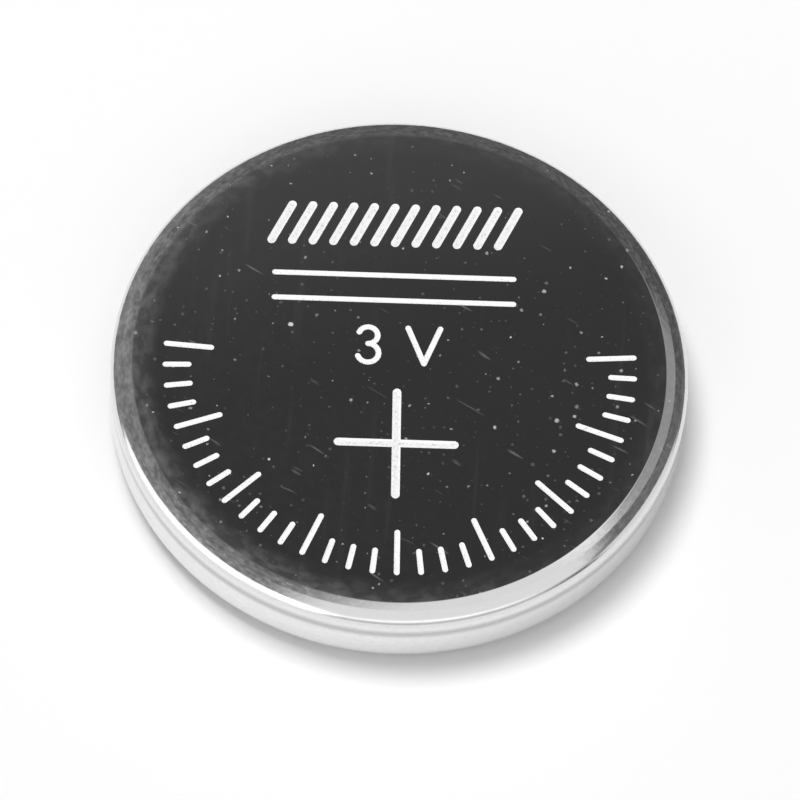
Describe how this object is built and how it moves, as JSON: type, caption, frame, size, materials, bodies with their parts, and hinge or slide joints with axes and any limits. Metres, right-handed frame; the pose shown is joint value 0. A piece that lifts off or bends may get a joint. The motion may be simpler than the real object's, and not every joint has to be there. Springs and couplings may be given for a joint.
{
  "type": "lithium coin cell",
  "caption": "Flat round lithium cell with a crowned steel case crimped over a gasket and a smaller flat contact cap.",
  "frame": {"origin": "centre of the negative contact's flat face, which is what the cell lies on", "axes": "+Z along the cell's axis towards the positive face; X and Y are free, because the cell is round"},
  "size_m": [0.02, 0.02, 0.0032],
  "materials": {
    "can_steel": "polished",
    "cap_steel": "satin",
    "gasket_plastic": "satin",
    "lithium_metal": "satin",
    "separator_felt": "matte",
    "cathode_mass": "matte",
    "inner_steel": "satin"
  },
  "bodies": {
    "root": {"positive_can": "can_steel", "negative_cap": "cap_steel", "sealing_gasket": "gasket_plastic", "lithium_anode": "lithium_metal", "separator_cup": "separator_felt", "cathode_pellet": "cathode_mass", "cathode_ring": "inner_steel", "collector_mesh": "inner_steel"}
  },
  "joints": []
}
